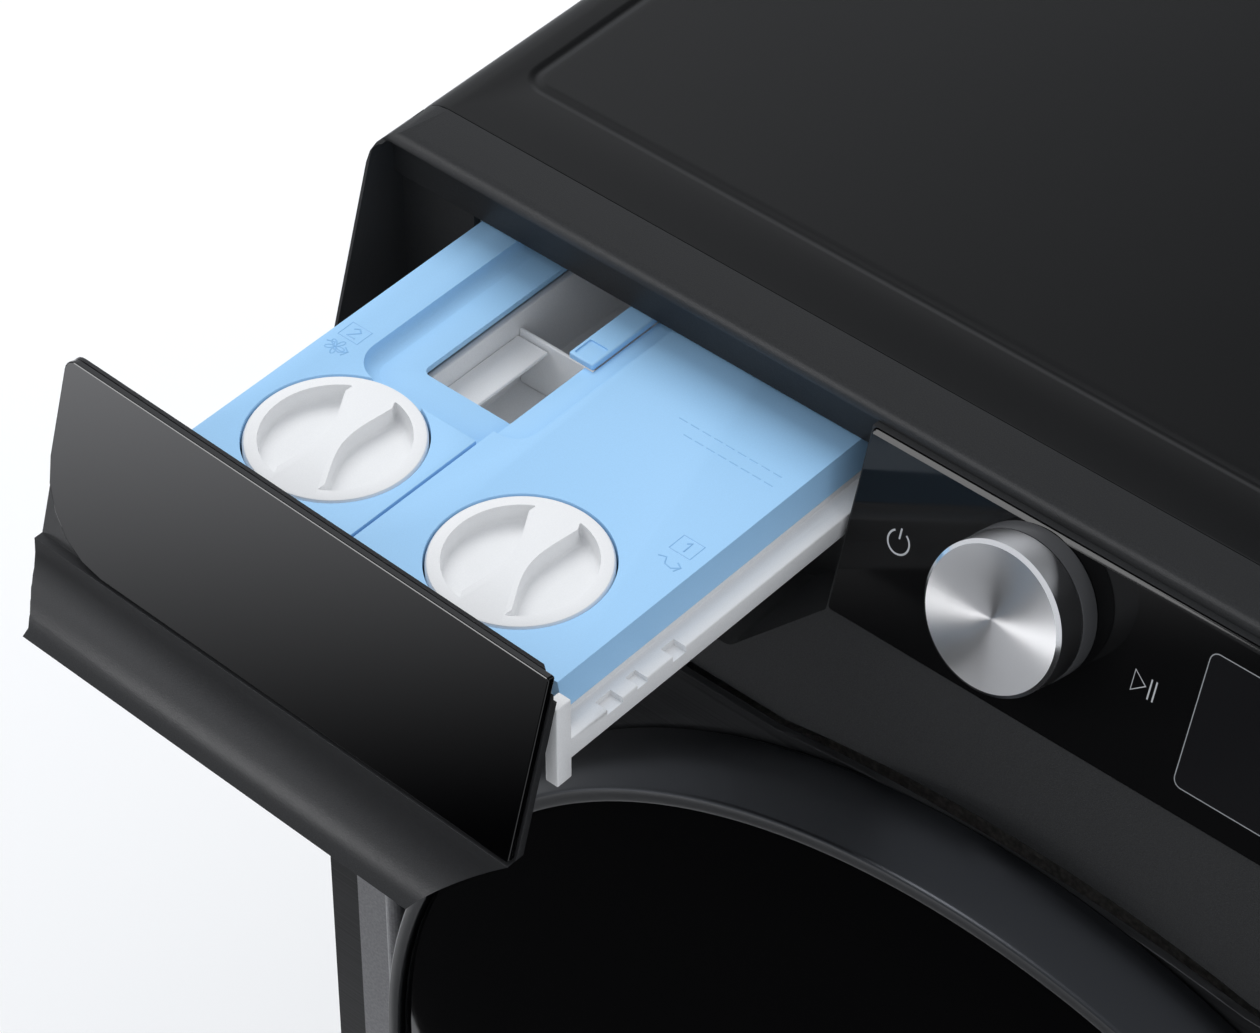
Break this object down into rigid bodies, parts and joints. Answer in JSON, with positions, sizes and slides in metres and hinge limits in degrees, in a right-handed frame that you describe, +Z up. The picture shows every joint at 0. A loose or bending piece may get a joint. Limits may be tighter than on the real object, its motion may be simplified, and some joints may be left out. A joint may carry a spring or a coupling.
{
  "type": "front load washing machine",
  "caption": "Front load washing machine with a round glass door, a dial and touch panel, and a pull-out dispenser drawer with capped detergent tanks.",
  "frame": {"origin": "on the floor, under the middle of the object's box with the drawer pulled out", "axes": "+Z up, the front faces -Y, +X to the right seen from the front"},
  "size_m": [0.6, 0.7174, 0.85],
  "materials": {
    "cabinet": "satin black enamel",
    "rear_panel": "satin black enamel",
    "base_tray": "galvanised",
    "worktop": "satin black enamel",
    "front_panel": "brushed black",
    "fascia": "fine-grained matte",
    "control_glass": "high gloss",
    "display": "high gloss",
    "dial_base": "gloss",
    "control_board": "solder resist",
    "dispenser_housing": "satin",
    "dosing_pump": "satin",
    "inlet_valve": "satin",
    "fill_hose": "matte",
    "dispenser_hose": "matte",
    "cord_inlet": "matte",
    "hinge_bracket": "die cast",
    "hinge_pin": "ground",
    "door_lock": "satin",
    "door_gasket": "matte",
    "tub_front": "moulded",
    "tub_rear": "moulded",
    "drum_bearing": "ground",
    "motor": "painted",
    "drive_belt": "ribbed",
    "counterweight_front": "cast concrete",
    "counterweight_top": "cast concrete",
    "spring_left": "drawn wire",
    "spring_right": "drawn wire",
    "damper_left": "moulded",
    "damper_right": "moulded",
    "drain_pump": "moulded",
    "drawer_glass": "high gloss",
    "drawer_front": "fine-grained satin",
    "drawer_tray": "satin",
    "cover_left": "satin",
    "cover_right": "satin",
    "cap_left": "satin",
    "cap_right": "satin",
    "push_tab": "satin",
    "dial": "spun finish",
    "door_ring": "high gloss",
    "door_frame": "satin",
    "door_glass": "dark tinted",
    "porthole": "clear",
    "hinge_leaf": "die cast",
    "latch_hook": "pressed",
    "drum": "pierced stainless",
    "drum_lifter_1": "satin",
    "drum_lifter_2": "satin",
    "drum_lifter_3": "satin",
    "drum_spider": "cast",
    "drum_pulley": "cast",
    "motor_pulley": "turned",
    "filter_flap": "brushed black",
    "filter_cap": "moulded",
    "foot_front_left": "moulded",
    "foot_front_right": "moulded",
    "foot_rear_left": "moulded",
    "foot_rear_right": "moulded"
  },
  "bodies": {
    "machine": {"cabinet": "cabinet", "rear_panel": "rear_panel", "base_tray": "base_tray", "worktop": "worktop", "front_panel": "front_panel", "fascia": "fascia", "control_glass": "control_glass", "display": "display", "dial_base": "dial_base", "control_board": "control_board", "dispenser_housing": "dispenser_housing", "dosing_pump": "dosing_pump", "inlet_valve": "inlet_valve", "fill_hose": "fill_hose", "dispenser_hose": "dispenser_hose", "cord_inlet": "cord_inlet", "hinge_bracket": "hinge_bracket", "hinge_pin": "hinge_pin", "door_lock": "door_lock", "door_gasket": "door_gasket", "tub_front": "tub_front", "tub_rear": "tub_rear", "drum_bearing": "drum_bearing", "motor": "motor", "drive_belt": "drive_belt", "counterweight_front": "counterweight_front", "counterweight_top": "counterweight_top", "spring_left": "spring_left", "spring_right": "spring_right", "damper_left": "damper_left", "damper_right": "damper_right", "drain_pump": "drain_pump"},
    "drawer": {"drawer_glass": "drawer_glass", "drawer_front": "drawer_front", "drawer_tray": "drawer_tray", "cover_left": "cover_left", "cover_right": "cover_right"},
    "left_cap": {"cap_left": "cap_left"},
    "right_cap": {"cap_right": "cap_right"},
    "release_tab": {"push_tab": "push_tab"},
    "dial": {"dial": "dial"},
    "door": {"door_ring": "door_ring", "door_frame": "door_frame", "door_glass": "door_glass", "porthole": "porthole", "hinge_leaf": "hinge_leaf"},
    "hook": {"latch_hook": "latch_hook"},
    "drum": {"drum": "drum", "drum_lifter_1": "drum_lifter_1", "drum_lifter_2": "drum_lifter_2", "drum_lifter_3": "drum_lifter_3", "drum_spider": "drum_spider", "drum_pulley": "drum_pulley"},
    "motor_shaft": {"motor_pulley": "motor_pulley"},
    "flap": {"filter_flap": "filter_flap"},
    "filter": {"filter_cap": "filter_cap"},
    "foot_fl": {"foot_front_left": "foot_front_left"},
    "foot_fr": {"foot_front_right": "foot_front_right"},
    "foot_rl": {"foot_rear_left": "foot_rear_left"},
    "foot_rr": {"foot_rear_right": "foot_rear_right"}
  },
  "joints": [
    {"name": "drawer_slide", "type": "slide", "parent": "machine", "child": "drawer", "axis": [0, -1, 0], "range_m": [-0.146, 0.06]},
    {"name": "left_cap_turn", "type": "hinge", "parent": "drawer", "child": "left_cap", "pos_m": [-0.2236, -0.2743, 0.8245], "axis": [0, 0, 1], "range_deg": [0, 90]},
    {"name": "right_cap_turn", "type": "hinge", "parent": "drawer", "child": "right_cap", "pos_m": [-0.1428, -0.2773, 0.8245], "axis": [0, 0, 1], "range_deg": [0, 90]},
    {"name": "tab_press", "type": "slide", "parent": "drawer", "child": "release_tab", "axis": [0, 0, -1], "range_m": [0, 0.002], "stiffness_N_per_m": 400, "springref_m": -0.001},
    {"name": "dial_turn", "type": "hinge", "parent": "machine", "child": "dial", "pos_m": [-0.0185, -0.18503, 0.81968], "axis": [0, -0.9548, 0.2974], "continuous": true},
    {"name": "door_hinge", "type": "hinge", "parent": "machine", "child": "door", "pos_m": [-0.2618, -0.2198, 0.492], "axis": [0, 0, -1], "range_deg": [0, 130]},
    {"name": "hook_pivot", "type": "hinge", "parent": "door", "child": "hook", "pos_m": [0.192, -0.2121, 0.492], "axis": [0, 0, -1], "range_deg": [0, 10], "stiffness_Nm_per_rad": 0.5, "springref_deg": -5.73},
    {"name": "drum_spin", "type": "hinge", "parent": "machine", "child": "drum", "pos_m": [0, 0.2317, 0.492], "axis": [0, 1, 0], "continuous": true},
    {"name": "motor_spin", "type": "hinge", "parent": "machine", "child": "motor_shaft", "pos_m": [0, 0.2917, 0.135], "axis": [0, 1, 0], "continuous": true},
    {"name": "flap_hinge", "type": "hinge", "parent": "machine", "child": "flap", "pos_m": [0.215, -0.2143, 0.04], "axis": [1, 0, 0], "range_deg": [0, 95]},
    {"name": "filter_turn", "type": "hinge", "parent": "machine", "child": "filter", "pos_m": [0.215, -0.2089, 0.085], "axis": [0, -1, 0], "continuous": true},
    {"name": "foot_fl_turn", "type": "hinge", "parent": "machine", "child": "foot_fl", "pos_m": [-0.26, -0.1733, 0], "axis": [0, 0, 1], "continuous": true},
    {"name": "foot_fr_turn", "type": "hinge", "parent": "machine", "child": "foot_fr", "pos_m": [0.26, -0.1733, 0], "axis": [0, 0, 1], "continuous": true},
    {"name": "foot_rl_turn", "type": "hinge", "parent": "machine", "child": "foot_rl", "pos_m": [-0.26, 0.3067, 0], "axis": [0, 0, 1], "continuous": true},
    {"name": "foot_rr_turn", "type": "hinge", "parent": "machine", "child": "foot_rr", "pos_m": [0.26, 0.3067, 0], "axis": [0, 0, 1], "continuous": true}
  ],
  "couplings": [
    {"joint": "motor_spin", "follows": "drum_spin", "ratio": 12.545}
  ]
}
